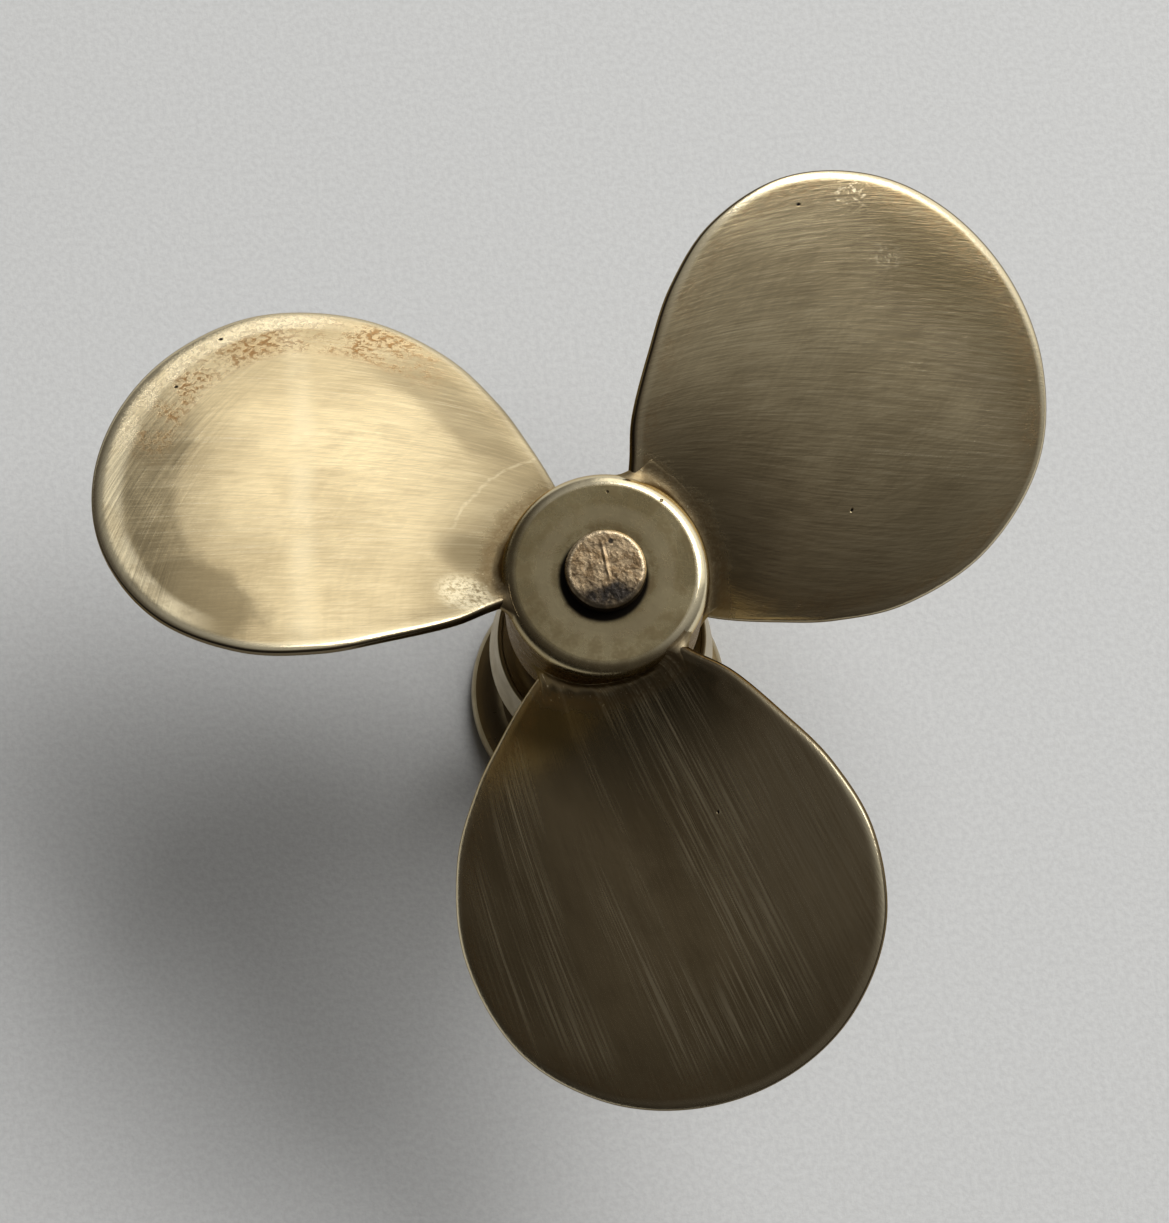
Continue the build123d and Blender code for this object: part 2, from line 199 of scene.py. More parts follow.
def evenly_spaced(path, count):
    """The open path resampled to count points at equal steps along it."""
    marks = [0.0]
    for a, b in zip(path, path[1:]):
        marks.append(marks[-1] + hypot(b[0] - a[0], b[1] - a[1]))
    result, k = [], 0
    for n in range(count):
        want = marks[-1] * n / (count - 1)
        while k < len(path) - 2 and marks[k + 1] < want:
            k += 1
        share = (want - marks[k]) / (marks[k + 1] - marks[k])
        a, b = path[k], path[k + 1]
        result.append((a[0] + share * (b[0] - a[0]), a[1] + share * (b[1] - a[1])))
    return result


def edge_share(radius):
    """Width of the edge's rounding as a share of its full width, which it has from 62 mm."""
    return 0.3 + 0.7 * clamp((radius - 20 * MM) / (42 * MM))


def inset(path, depth):
    """The open path moved in by its share of depth, as (radius, chord, distance moved)."""
    moved = []
    for k, (r, c) in enumerate(path):
        before, after = path[max(0, k - 2)], path[min(len(path) - 1, k + 2)]
        dr, dc = after[0] - before[0], after[1] - before[1]
        inward = depth * edge_share(r)
        length = hypot(dr, dc)
        moved.append((r - inward * dc / length, c + inward * dr / length, inward))
    return moved


def blade_section_rows():
    """Rows of (radius, chord, depth in from the rim) with a height, from the rim to the spine."""
    outline = [(r * MM, c * MM) for r, c in curve_through(BLADE_OUTLINE, 16)]
    rim = evenly_spaced(outline, 2 * RIM_HALF + 1)
    half = BLADE_THICKNESS / 2
    rows = []

    def add(depth, height):
        rows.append((inset(rim, depth), height))

    for n in range(EDGE_STEPS + 1):
        angle = pi / 2 * n / EDGE_STEPS
        add(EDGE_WIDTH * (1 - cos(angle)), half - EDGE_DEPTH * (1 - sin(angle)))
    for depth in FLAT_DEPTHS:
        add(depth * MM, half)
    inner = rows[-1][0]
    for n in range(1, SPINE_STEPS + 1):
        share = (n / SPINE_STEPS)**SPINE_CROWDING
        row = []
        for k, (r, c, depth) in enumerate(inner):
            along = min(k, 2 * RIM_HALF - k) / RIM_HALF
            spine = [(a + (b - a) * along) * MM for a, b in zip(*SPINE)]
            dr, dc = (spine[0] - r) * share, (spine[1] - c) * share
            row.append((r + dr, c + dc, depth + hypot(dr, dc)))
        rows.append((row, half))
    return rows


def root_fade(radius):
    """Nothing at the hub, one from 10 mm outside it."""
    return clamp((radius - HUB_R) / (10 * MM))


def hand_work(point, number):
    """Slight unevenness of a hand-beaten plate, in metres along the blade's normal."""
    place = point + Vector((number * 0.37, 0, 0))
    broad = smooth_noise(place, 34 * MM, 2)
    fine = smooth_noise(place, 9 * MM, 2)
    return root_fade(hypot(point.x, point.y)) * (0.14 * MM * broad + 0.012 * MM * fine)


def lip(depth, number):
    """Height of the slight lip or fall that beating and filing left round a blade's rim."""
    share = max(0.0, 1 - depth / LIP_WIDTH)
    return LIP_HEIGHTS[number - 1] * share**2 * (3 - 2 * share)


def make_blade(number):
    """One blade as a plate of even thickness with rounded edges, closed on both sides."""
    twist = BLADE_TWISTS[number - 1]
    turn = Matrix.Rotation(radians(BLADE_ANGLES[number - 1]), 3, "Z")

    def place(radius, chord, depth, height):
        """A point of the plate; height is that over its middle surface, below zero behind it."""
        middle = blade_point(radius, chord, twist)
        lift = height + hand_work(middle, number) + root_fade(radius) * lip(depth, number)
        return turn @ (middle + blade_normal(radius, chord, twist) * lift)

    front = blade_section_rows()
    rows = [(row, -height) for row, height in reversed(front)] + front
    points = [place(*spot, height) for row, height in rows for spot in row]
    places = [(r, c, -depth if height < 0 else depth)
              for row, height in rows for r, c, depth in row]
    width, count = 2 * RIM_HALF + 1, len(rows)
    faces = [(j * width + k, j * width + k + 1, (j + 1) * width + k + 1, (j + 1) * width + k)
             for j in range(count - 1) for k in range(width - 1)]
    # The root's section, which lies inside the hub, is closed between back and front.
    for k in (0, width - 1):
        for j in range(count // 2 - 1):
            back, mate = j * width + k, (count - 1 - j) * width + k
            faces.append((back, back + width, mate - width, mate))
    piece = add_mesh(f"blade_{number}_plate", points, faces, places=places)
    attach(piece, "rotor")
    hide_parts(f"blade_{number}")
    return piece


def bead_stations(twist):
    """Places round the blade's root: (chord, direction away from the blade), a closed run."""
    edge = 0.6 * BLADE_THICKNESS / 2
    trail, lead = flank_chord(HUB_R, 0) + edge, flank_chord(HUB_R, 1) - edge
    sides, ends = BEAD_SIDE_STATIONS, BEAD_END_STATIONS
    stations = []

    def add(chord, angle):
        normal = blade_normal(HUB_R, chord, twist)
        step = blade_point(HUB_R, chord + MM, twist) - blade_point(HUB_R, chord - MM, twist)
        away = normal * cos(angle) + step.normalized() * sin(angle)
        stations.append((chord, away))

    for n in range(sides):
        add(trail + (lead - trail) * n / sides, 0)
    for n in range(ends):
        add(lead, pi * n / ends)
    for n in range(sides):
        add(lead - (lead - trail) * n / sides, pi)
    for n in range(ends):
        add(trail, pi + pi * n / ends)
    return stations


def hub_surface(point):
    """The nearest place on the hub's side, following its rounded edge to just below the face."""
    height = min(point.z, FACE_Z - 0.35 * MM)
    over = max(0.0, height - (FACE_Z - HUB_EDGE_R))
    radius = HUB_R - HUB_EDGE_R + sqrt(max(0.0, HUB_EDGE_R**2 - over**2))
    scale = radius / hypot(point.x, point.y)
    return Vector((point.x * scale, point.y * scale, height))


def make_bead(number):
    """The uneven concave run of braze metal round one blade's root."""
    twist = BLADE_TWISTS[number - 1]
    turn = Matrix.Rotation(radians(BLADE_ANGLES[number - 1]), 3, "Z")
    half = BLADE_THICKNESS / 2
    rows, places = [], []

    def on_plate(radius, chord, away, height):
        """A point at a height above the blade's middle surface, which it follows."""
        middle = blade_point(radius, chord, twist)
        lift = blade_normal(radius, chord, twist) * hand_work(middle, number)
        return middle + lift + away * height

    for chord, away in bead_stations(twist):
        root = blade_point(HUB_R, chord, twist)
        seed = root + away * 3 * MM + Vector((number * 0.21, 0, 0))
        size = BEAD_R * (1.0 + 0.22 * smooth_noise(seed, 8 * MM) + 0.05 * smooth_noise(seed, 2 * MM))
        corner = hub_surface(root + away * half)
        on_blade = on_plate(HUB_R + size, chord, away, half + 0.006 * MM)
        on_hub = hub_surface(root + away * (half + size))
        row = [corner * 0.97, on_hub * 0.985]     # the bead starts inside the hub
        for n in range(BEAD_STEPS + 1):
            t = n / BEAD_STEPS
            bend = on_hub * (1 - t)**2 + corner * 2 * t * (1 - t) + on_blade * t**2
            rough = 0.10 * MM * smooth_noise(bend + Vector((0, number, 0)), 1.8 * MM)
            row.append(bend + away * rough * sin(pi * t))
        reach = HUB_R + size + BEAD_REACH
        row.append(on_plate(reach, chord, away, half - 0.02 * MM))
        row.append(on_plate(reach + 0.2 * MM, chord, away, half - 0.5 * MM))
        rows.append([turn @ Vector(p) for p in row])
        places += [(hypot(p.x, p.y), chord, BEAD_DEPTH) for p in row]
    points = [p for row in rows for p in row]
    faces = loops_to_faces(len(rows), len(rows[0]), closed_across=True)
    piece = add_mesh(f"root_bead_{number}", points, faces, places=places)
    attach(piece, "rotor")
    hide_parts(f"root_fillet_{number}")
    return piece


def shaft_profile(side_top):
    """Radius and height of each ring of points, from the threaded end to the free end's face."""
    low = shaft_low.z
    thread_top = low + THREAD_LENGTH
    profile = [(THREAD_R - THREAD_CHAMFER, low), (THREAD_R, low + THREAD_CHAMFER),
               (THREAD_R, thread_top), (SHAFT_R, thread_top)]
    profile += [(SHAFT_R, thread_top + (side_top - thread_top) * share)
                for share in (0.5, 0.9, 0.96, 0.985, 1.0)]
    profile += [(SHAFT_R - END_BEVEL * (1 - cos(a)), side_top + END_BEVEL * sin(a))
                for a in (pi / 8, pi / 4, 3 * pi / 8, pi / 2)]
    profile += [((SHAFT_R - END_BEVEL) * (1 - n / END_RINGS), side_top + END_BEVEL)
                for n in range(1, END_RINGS)]
    return profile


def end_shape(radius, angle, height, side_top):
    """A point of the shaft, pushed about only near its free end."""
    point = Vector((radius * cos(angle), radius * sin(angle), height))
    near = clamp((height - side_top + END_ROUGH_LENGTH) / END_ROUGH_LENGTH)
    if near == 0:
        return point
    wobble = smooth_noise(Vector((cos(angle), sin(angle), 4.0)), 0.8)
    if radius > SHAFT_R * 0.85:       # the rim is out of round
        scale = 1 - 0.022 * near * (1 + wobble)
        point.x *= scale
        point.y *= scale
    broad = 0.09 * MM * smooth_noise(point + Vector((0, 0, 2)), 2.2 * MM)
    fine = 0.045 * MM * smooth_noise(point, 0.6 * MM, 2)
    worn_side = 0.13 * max(0.0, -2.6 * MM - point.y + 0.8 * MM * wobble)
    # A narrow ridge runs from y = -2.2 to 5 mm, nearly along the Y axis.
    across = abs(point.x + 0.1 * point.y - 0.2 * MM)
    along = min(clamp((point.y + 2.2 * MM) / MM), clamp((5 * MM - point.y) / MM))
    ridge = 0.12 * MM * clamp(1 - across / (0.4 * MM)) * along
    point.z -= near * max(0.0, 0.16 * MM + broad + fine + worn_side - ridge)
    return point


def make_shaft():
    """The shaft with its rough, hand-dressed end: a worn bevel, a ridge and small pits."""
    side_top = shaft_high.z - END_BEVEL_DROP
    rings = shaft_profile(side_top)
    points = [Vector((0, 0, shaft_low.z))]
    for radius, height in rings:
        for k in range(SHAFT_SEGMENTS):
            angle = 2 * pi * k / SHAFT_SEGMENTS
            points.append(end_shape(radius, angle, height, side_top))
    points.append(end_shape(0.0, 0.0, side_top + END_BEVEL, side_top))
    faces = [tuple(1 + k for k in face) for face in loops_to_faces(len(rings), SHAFT_SEGMENTS)]
    last_ring = 1 + (len(rings) - 1) * SHAFT_SEGMENTS
    for k in range(SHAFT_SEGMENTS):
        n = (k + 1) % SHAFT_SEGMENTS
        faces.append((0, 1 + n, 1 + k))
        faces.append((len(points) - 1, last_ring + k, last_ring + n))
    piece = add_mesh("shaft_with_rough_end", points, faces, sharp_angle=50)
    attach(piece, "rotor")
    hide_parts("propeller_shaft")
    return piece


# ---- Materials ----------------------------------------------------------------------------
class Nodes:
    """Short ways to add the nodes that vary a material or the room's light."""

    def __init__(self, tree):
        self.tree = tree

    def add(self, kind, **settings):
        node = self.tree.nodes.new(kind)
        for key, value in settings.items():
            setattr(node, key, value)
        return node

    def wire(self, value, socket):
        """Links the socket to another node's output, or sets it to a constant."""
        if isinstance(value, bpy.types.NodeSocket):
            self.tree.links.new(value, socket)
        else:
            socket.default_value = value

    def split(self, vector):
        """The x, y and z of a vector."""
        node = self.add("ShaderNodeSeparateXYZ")
        self.wire(vector, node.inputs[0])
        return node.outputs

    def join(self, x, y, z):
        node = self.add("ShaderNodeCombineXYZ")
        for value, socket in zip((x, y, z), node.inputs):
            self.wire(value, socket)
        return node.outputs[0]

    def math(self, operation, a, b=0.0):
        node = self.add("ShaderNodeMath", operation=operation)
        self.wire(a, node.inputs[0])
        self.wire(b, node.inputs[1])
        return node.outputs[0]

    def times(self, *factors):
        total = factors[0]
        for factor in factors[1:]:
            total = self.math("MULTIPLY", total, factor)
        return total

    def sum(self, *terms):
        """Adds (value, weight) pairs."""
        total = None
        for value, weight in terms:
            part = self.math("MULTIPLY", value, weight)
            total = part if total is None else self.math("ADD", total, part)
        return total

    def most(self, *shares):
        """The largest of the shares at each place."""
        total = shares[0]
        for share in shares[1:]:
            total = self.math("MAXIMUM", total, share)
        return total

    def distance(self, a, b):
        """The distance that two offsets at a right angle to each other make."""
        return self.math("SQRT", self.math("ADD", self.times(a, a), self.times(b, b)))

    def ramp(self, value, low, high, out_low=0.0, out_high=1.0):
        """Maps low..high smoothly to out_low..out_high; low may be the larger."""
        if low > high:
            low, high, out_low, out_high = high, low, out_high, out_low
        node = self.add("ShaderNodeMapRange", interpolation_type="SMOOTHSTEP")
        for name, part in (("Value", value), ("From Min", low), ("From Max", high),
                           ("To Min", out_low), ("To Max", out_high)):
            self.wire(part, node.inputs[name])
        return node.outputs["Result"]

    def ramp_mm(self, value, low, high, out_low=0.0, out_high=1.0):
        """The same for a length, with low and high in millimetres."""
        return self.ramp(value, low * MM, high * MM, out_low, out_high)

    def band(self, value, low, high, soft):
        """One between low and high, falling to nothing over soft on either side."""
        return self.times(self.ramp(value, low - soft, low), self.ramp(value, high + soft, high))

    def band_mm(self, value, low, high, soft):
        """The same for a length, with the limits in millimetres."""
        return self.band(value, low * MM, high * MM, soft * MM)

    def band_degrees(self, value, low, high, soft):
        """The same for an angle, with the limits in degrees."""
        return self.band(value, radians(low), radians(high), radians(soft))

    def mix(self, share, a, b):
        """Colour a where share is nothing, and b where it is one."""
        node = self.add("ShaderNodeMix", data_type="RGBA")
        self.wire(share, node.inputs["Factor"])
        self.wire(a, node.inputs["A"])
        self.wire(b, node.inputs["B"])
        return node.outputs["Result"]

    def layers(self, base, *coats):
        """Lays coats, each a (share, colour) pair, over a base colour in turn."""
        for share, coat in coats:
            base = self.mix(share, base, coat)
        return base

    def noise(self, vector, scale, detail, roughness, distortion=0.0):
        """Soft noise; scale counts its cells for each unit of the vector."""
        node = self.add("ShaderNodeTexNoise")
        self.wire(vector, node.inputs["Vector"])
        node.inputs["Scale"].default_value = scale
        node.inputs["Detail"].default_value = detail
        node.inputs["Roughness"].default_value = roughness
        node.inputs["Distortion"].default_value = distortion
        return node.outputs["Fac"]


class Shader(Nodes):
    """A Principled material in object coordinates."""

    def __init__(self, name, metallic=1.0):
        self.material = bpy.data.materials.new(name)
        self.material.use_nodes = True
        super().__init__(self.material.node_tree)
        self.bsdf = self.tree.nodes["Principled BSDF"]
        self.bsdf.inputs["Metallic"].default_value = metallic
        self.place = self.add("ShaderNodeTexCoord").outputs["Object"]

    def mapped(self, stretch=(1, 1, 1), shift=(0, 0, 0), source=None):
        """The place, or another source, stretched and shifted."""
        node = self.add("ShaderNodeMapping")
        node.inputs["Scale"].default_value = stretch
        node.inputs["Location"].default_value = shift
        self.wire(source or self.place, node.inputs["Vector"])
        return node.outputs["Vector"]

    def bump(self, height, distance, strength):
        node = self.add("ShaderNodeBump")
        node.inputs["Strength"].default_value = strength
        node.inputs["Distance"].default_value = distance
        self.wire(height, node.inputs["Height"])
        self.wire(node.outputs["Normal"], self.bsdf.inputs["Normal"])

    def spot(self, x, y, size):
        """One inside a small round spot, given in millimetres from the axis."""
        place_x, place_y, _ = self.split(self.place)
        dx = self.math("SUBTRACT", place_x, x * MM)
        dy = self.math("SUBTRACT", place_y, y * MM)
        return self.ramp_mm(self.distance(dx, dy), size, 0.5 * size)

    def axis_distance(self):
        x, y, _ = self.split(self.place)
        return self.distance(x, y)

    def turning_marks(self, scale):
        """Noise that is the same all round the axis, as a lathe leaves it."""
        height = self.split(self.place)[2]
        turned = self.join(self.times(self.axis_distance(), scale), 0.0, self.times(height, scale))
        return self.noise(turned, 1.0, 3, 0.6)

    def finish(self, base, roughness):
        self.wire(base, self.bsdf.inputs["Base Color"])
        self.wire(roughness, self.bsdf.inputs["Roughness"])
        return self.material


def colour(red, green, blue):
    return (red, green, blue, 1.0)


BRASS = colour(0.80, 0.66, 0.405)
BRASS_BRIGHT = colour(0.94, 0.83, 0.58)
BRASS_DULL = colour(0.56, 0.45, 0.265)
# Duller brass of the blades' backs, darkened further as painted shade.
BRASS_BACK_DULL_AND_SHADED = colour(0.25, 0.19, 0.105)
# Painted shade on the blades' faces, and a deeper one for the third blade.
PAINTED_SHADE = colour(0.20, 0.155, 0.085)
PAINTED_SHADE_DEEP = colour(0.155, 0.130, 0.078)
STAIN = colour(0.62, 0.43, 0.22)
TARNISH = colour(0.37, 0.205, 0.08)
BRAZE = colour(0.24, 0.17, 0.085)
# Painted shade on the sides of the blades' edges.
EDGE_SIDE_PAINTED_SHADE = colour(0.11, 0.082, 0.048)
# Painted shade on the stand's upward faces under the propeller.
PAINTED_TOP_SHADE_COLOUR = colour(0.10, 0.070, 0.036)
DARK = colour(0.10, 0.075, 0.045)
PIT = colour(0.02, 0.015, 0.01)


class BladeShader(Shader):
    """Brass of one blade, laid out by radius, chord and depth in from the rim.

    The depth is below zero on the blade's back, which is duller than its front and darker as
    painted shade.
    """

    def __init__(self, number):
        super().__init__(f"brushed_brass_{number}")
        self.bsdf.inputs["Specular Tint"].default_value = colour(0.50, 0.40, 0.27)
        own = self.add("ShaderNodeAttribute", attribute_name="place").outputs["Vector"]
        self.radius, self.chord, depth = self.split(own)
        self.depth = self.math("ABSOLUTE", depth)
        self.behind = self.ramp_mm(depth, 0, -1.2)
        self.flat = self.join(self.radius, self.chord, 0.1 * number)
        self.broad = self.noise(self.flat, 40, 4, 0.55)
        self.clouds = self.noise(self.mapped(source=self.flat, shift=(0.7, 0.2, 0)), 150, 4, 0.6)
        self.speckle = self.noise(self.mapped(source=self.flat, shift=(0.3, 0.1, 0)), 1100, 5, 0.72)

    def strokes(self, angle, stretch, bow=0.0, detail=4, shift=0.0):
        """Noise drawn out along strokes at an angle to the radius.

        stretch is its scale along and across the strokes, and bow how fast they crowd together
        away from the middle of the blade.
        """
        a = radians(angle)
        r = self.math("SUBTRACT", self.radius, 50 * MM)
        along = self.sum((r, cos(a)), (self.chord, sin(a)))
        across = self.sum((self.chord, cos(a)), (r, -sin(a)))
        if bow:
            spread = self.math("ADD", 1.0, self.times(along, along, bow))
            across = self.times(across, spread)
        where = self.join(self.times(along, stretch[0]), self.times(across, stretch[1]), shift)
        return self.noise(where, 1.0, detail, 0.6)

    def patch(self, radius, chord, size, soft, ragged=0.0):
        """One inside a round patch, given in millimetres; ragged makes it less round."""
        r = self.math("SUBTRACT", self.radius, radius * MM)
        c = self.math("SUBTRACT", self.chord, chord * MM)
        apart = self.distance(r, c)
        if ragged:
            uneven = self.sum((self.broad, 0.7), (self.clouds, 0.3), (1.0, -0.5))
            apart = self.sum((apart, 1.0), (uneven, ragged * MM))
        return self.ramp_mm(apart, size + soft, size)


def brush_strokes(s, angle, bow, steep_tip):
    """Fine strokes of a brush, which steep_tip turns across the blade near its tip."""
    fine = s.strokes(angle, (130, 3600), bow=bow, detail=3)
    medium = s.strokes(angle - 4, (60, 1700), bow=bow, shift=3.0)
    crossing = s.strokes(angle + 17, (55, 2100), bow=bow, shift=7.0, detail=3)
    steep = s.strokes(angle + 62, (50, 1500), shift=5.0, detail=3)
    stroke = s.sum((fine, 0.36), (medium, 0.32), (crossing, 0.20), (steep, 0.12))
    turned = s.sum((steep, 0.70), (crossing, 0.30))
    turning = s.times(s.ramp_mm(s.radius, 63, 71), steep_tip)
    return s.math("ADD", stroke, s.times(turning, s.math("SUBTRACT", turned, stroke)))


def blade_material(number, angle, bow, steep_tip, contrast, streaked, shade, painted_shade_colour,
                   spots, marks, pits):
    """Hand-brushed brass: fine strokes, long scratches, a polished rim, tarnish and pits.

    The strokes run at an angle in degrees and have a contrast; streaked is the strength of the
    long scratches. shade is the blade's painted shade, laid in its own colour; spots are its brown
    places; marks are its polished places, with a painted reflection stripe on blade 2 and a
    painted sheen on blade 3; and pits are the (radius, chord) of small holes in millimetres.
    """
    s = BladeShader(number)
    stroke = brush_strokes(s, angle, bow, steep_tip)
    streaks = s.strokes(angle + 1, (40, 2300), shift=11.0)
    bundles = s.strokes(angle, (20, 85), shift=17.0, detail=2)
    grain = s.noise(s.flat, 2600, 2, 0.5)

    scratch = s.times(s.ramp(streaks, 0.43, 0.64), s.ramp(bundles, 0.40, 0.58),
                      s.ramp_mm(s.depth, 1, 9), streaked)
    spotted = spots(s)
    stain = s.times(spotted, s.ramp(s.clouds, 0.38, 0.60, 0.0, 0.42))
    tarnish = s.times(s.ramp(s.speckle, 0.47, 0.57), s.ramp(s.clouds, 0.36, 0.54, 0.15, 1.0),
                      spotted)
    ragged = s.sum((s.radius, 1.0), (s.speckle, 4 * MM), (s.clouds, 6 * MM))
    braze = s.ramp_mm(ragged, 26.2, 24.2)
    worn = s.ramp_mm(s.sum((s.depth, 1.0), (s.broad, 0.8 * MM)), 2.3, 1.3)
    side = s.ramp_mm(s.depth, 0.34, 0.16)
    holes = s.most(*(s.patch(radius, chord, 0.16, 0.22) for radius, chord in pits))

    base = s.layers(
        BRASS,
        (s.ramp(s.broad, 0.36, 0.66), BRASS_DULL),
        (s.ramp(s.clouds, 0.48, 0.66, 0.0, 0.30), BRASS_DULL),
        (s.times(s.ramp(stroke, 0.38, 0.56, 0.34, 0.0), contrast), DARK),
        (s.times(s.ramp(stroke, 0.50, 0.62, 0.0, 0.40), contrast), BRASS_BRIGHT),
        # Painted shade of each blade.
        (shade(s), painted_shade_colour),
        # The duller back, darkened further as painted shade.
        (s.times(s.behind, s.ramp(s.clouds, 0.3, 0.6, 0.55, 0.80)), BRASS_BACK_DULL_AND_SHADED),
        (scratch, BRASS_BRIGHT),
        (stain, STAIN),
        (tarnish, TARNISH),
        (s.times(braze, s.ramp(s.speckle, 0.35, 0.60, 0.35, 0.85)), BRAZE),
        (s.times(braze, s.ramp(s.speckle, 0.60, 0.70), 0.8), BRASS_BRIGHT),
        # Polished places, and the painted reflection stripe and painted sheen of blades 2 and 3.
        (marks(s), BRASS_BRIGHT),
        (s.times(worn, s.ramp_mm(s.radius, 34, 56, 0.25, 0.85)), BRASS_BRIGHT),
        # Painted shade on the sides of the edges.
        (s.times(side, 0.9), EDGE_SIDE_PAINTED_SHADE),
        (holes, PIT))
    rough = s.sum((stroke, 0.20), (tarnish, 0.14), (scratch, 0.24), (worn, -0.04),
                  (s.behind, 0.10), (braze, 0.14), (s.broad, 0.08), (1.0, 0.09))
    s.bump(s.sum((stroke, 1.0), (streaks, 0.4), (grain, 0.10), (tarnish, -0.5), (holes, -3.0),
                 (s.times(braze, s.speckle), 2.0)), 0.04 * MM, 0.9)
    return s.finish(base, rough)


def upper_painted_shade(s):
    """Painted shade: darker at the root, towards the trailing edge and at the tip."""
    root = s.ramp_mm(s.radius, 37, 19, 0.0, 0.62)
    trailing = s.ramp_mm(s.chord, -10, -36, 0.0, 0.55)
    tip = s.ramp_mm(s.radius, 58, 76, 0.0, 0.72)
    return s.most(root, trailing, tip)


def bright_blade_painted_shade(s):
    """Painted shade: a sharp-edged patch, along the tip and the trailing edge, and the root."""
    patch = s.times(s.patch(63.0, 23.5, 8.5, 3.5, ragged=20), 0.68)
    along_tip = s.times(s.band_mm(s.depth, 6.8, 12.5, 3.0), s.ramp_mm(s.radius, 60, 67),
                        s.ramp_mm(s.chord, -16, -6), s.ramp(s.clouds, 0.30, 0.60, 0.25, 0.62))
    flank = s.times(s.band_mm(s.depth, 3.5, 12.0, 4.0), s.ramp_mm(s.chord, -14, -24),
                    s.ramp_mm(s.radius, 58, 48), 0.42)
    root = s.times(s.patch(21.5, 1.5, 3.0, 5.0, ragged=10), 0.75)
    corner = s.ramp_mm(s.radius, 33, 17, 0.0, 0.55)
    return s.most(patch, along_tip, flank, root, corner)


def dark_blade_painted_shade(s):
    """Painted shade all over, most at the root and the tip, least along the leading edge."""
    root = s.ramp_mm(s.radius, 42, 21, 0.0, 0.88)
    tip = s.ramp_mm(s.radius, 58, 79, 0.0, 0.34)
    trailing = s.ramp_mm(s.chord, 0, -34, 0.0, 0.30)
    flank = s.times(s.ramp_mm(s.chord, -2, -16), s.ramp_mm(s.radius, 34, 25))
    leading = s.ramp_mm(s.chord, 12, 24, 1.0, 0.5)
    return s.times(s.most(root, tip, trailing, flank), leading)


def edge_spots(s):
    """Brown speckle in from the rim, towards the tip's trailing side."""
    inward = s.band_mm(s.depth, 3.0, 9.0, 3.5)
    return s.times(inward, s.ramp_mm(s.chord, 2, -12), s.ramp_mm(s.radius, 42, 54), 0.95)


def few_spots(s):
    """A trace of speckle along the whole rim."""
    return s.ramp_mm(s.depth, 9, 2, 0.0, 0.22)


def upper_marks(s):
    """Two light flecks near the tip."""
    flecks = s.most(s.patch(72.1, 17.9, 1.0, 3.0), s.times(s.patch(68.3, 6.5, 0.4, 3.0), 0.6))
    return s.times(flecks, s.ramp(s.speckle, 0.50, 0.62), 0.9)


def bright_marks(s):
    """Polished band along the tip, painted reflection stripe across, filed metal, line at the root.
    """
    along_tip = s.times(s.band_mm(s.depth, 1.8, 4.2, 1.4), s.ramp_mm(s.radius, 58, 68),
                        s.ramp(s.clouds, 0.35, 0.55, 0.35, 0.75))
    line = s.sum((s.radius, 1.0), (s.chord, 0.27), (s.times(s.chord, s.chord), -8.0))
    # A painted reflection of the window, as a light stripe across the blade.
    painted_reflection_stripe = s.times(s.band_mm(line, 48.7, 49.3, 3.0), s.ramp(s.clouds, 0.36, 0.60, 0.05, 0.30))
    filed = s.times(s.patch(22.2, 11.2, 2.4, 3.0), s.ramp(s.speckle, 0.38, 0.56))
    wave = s.sum((s.radius, 1.0), (s.clouds, 3 * MM))
    run_out = s.times(s.band_mm(wave, 27.2, 27.4, 0.3), s.ramp_mm(s.chord, 0, -6),
                      s.ramp(s.speckle, 0.40, 0.56, 0.05, 0.32))
    return s.most(along_tip, painted_reflection_stripe, filed, run_out)


def dark_marks(s):
    """Light wear along the leading flank, and a painted sheen: a paler zone beside it."""
    flank = s.times(s.band_mm(s.depth, 1.5, 4.0, 2.0), s.ramp_mm(s.chord, 10, 20),
                    s.ramp(s.clouds, 0.42, 0.60), 0.35)
    brushed = s.strokes(10, (45, 2100), shift=23.0)
    # Painted sheen, lightening the blade where its reflection is darker than wanted.
    painted_sheen = s.times(s.ramp_mm(s.chord, 0, 20), s.ramp_mm(s.radius, 27, 40),
                   s.ramp_mm(s.radius, 78, 50, 0.25, 0.80), s.ramp(brushed, 0.38, 0.62, 0.35, 1.0))
    return s.most(flank, painted_sheen)


BLADE_LOOKS = {
    1: dict(angle=-42, bow=170, steep_tip=0.0, contrast=0.80, streaked=0.10,
            shade=upper_painted_shade, painted_shade_colour=PAINTED_SHADE, spots=few_spots, marks=upper_marks,
            pits=((65.8, 22.5), (41.5, -20.2))),
    2: dict(angle=17, bow=0.0, steep_tip=0.8, contrast=0.55, streaked=0.15,
            shade=bright_blade_painted_shade, painted_shade_colour=PAINTED_SHADE, spots=edge_spots, marks=bright_marks,
            pits=((76.1, -16.7), (75.3, -28.8))),
    3: dict(angle=9, bow=0.0, steep_tip=0.0, contrast=0.42, streaked=0.70,
            shade=dark_blade_painted_shade, painted_shade_colour=PAINTED_SHADE_DEEP, spots=few_spots, marks=dark_marks,
            pits=((41.1, 7.5),))}


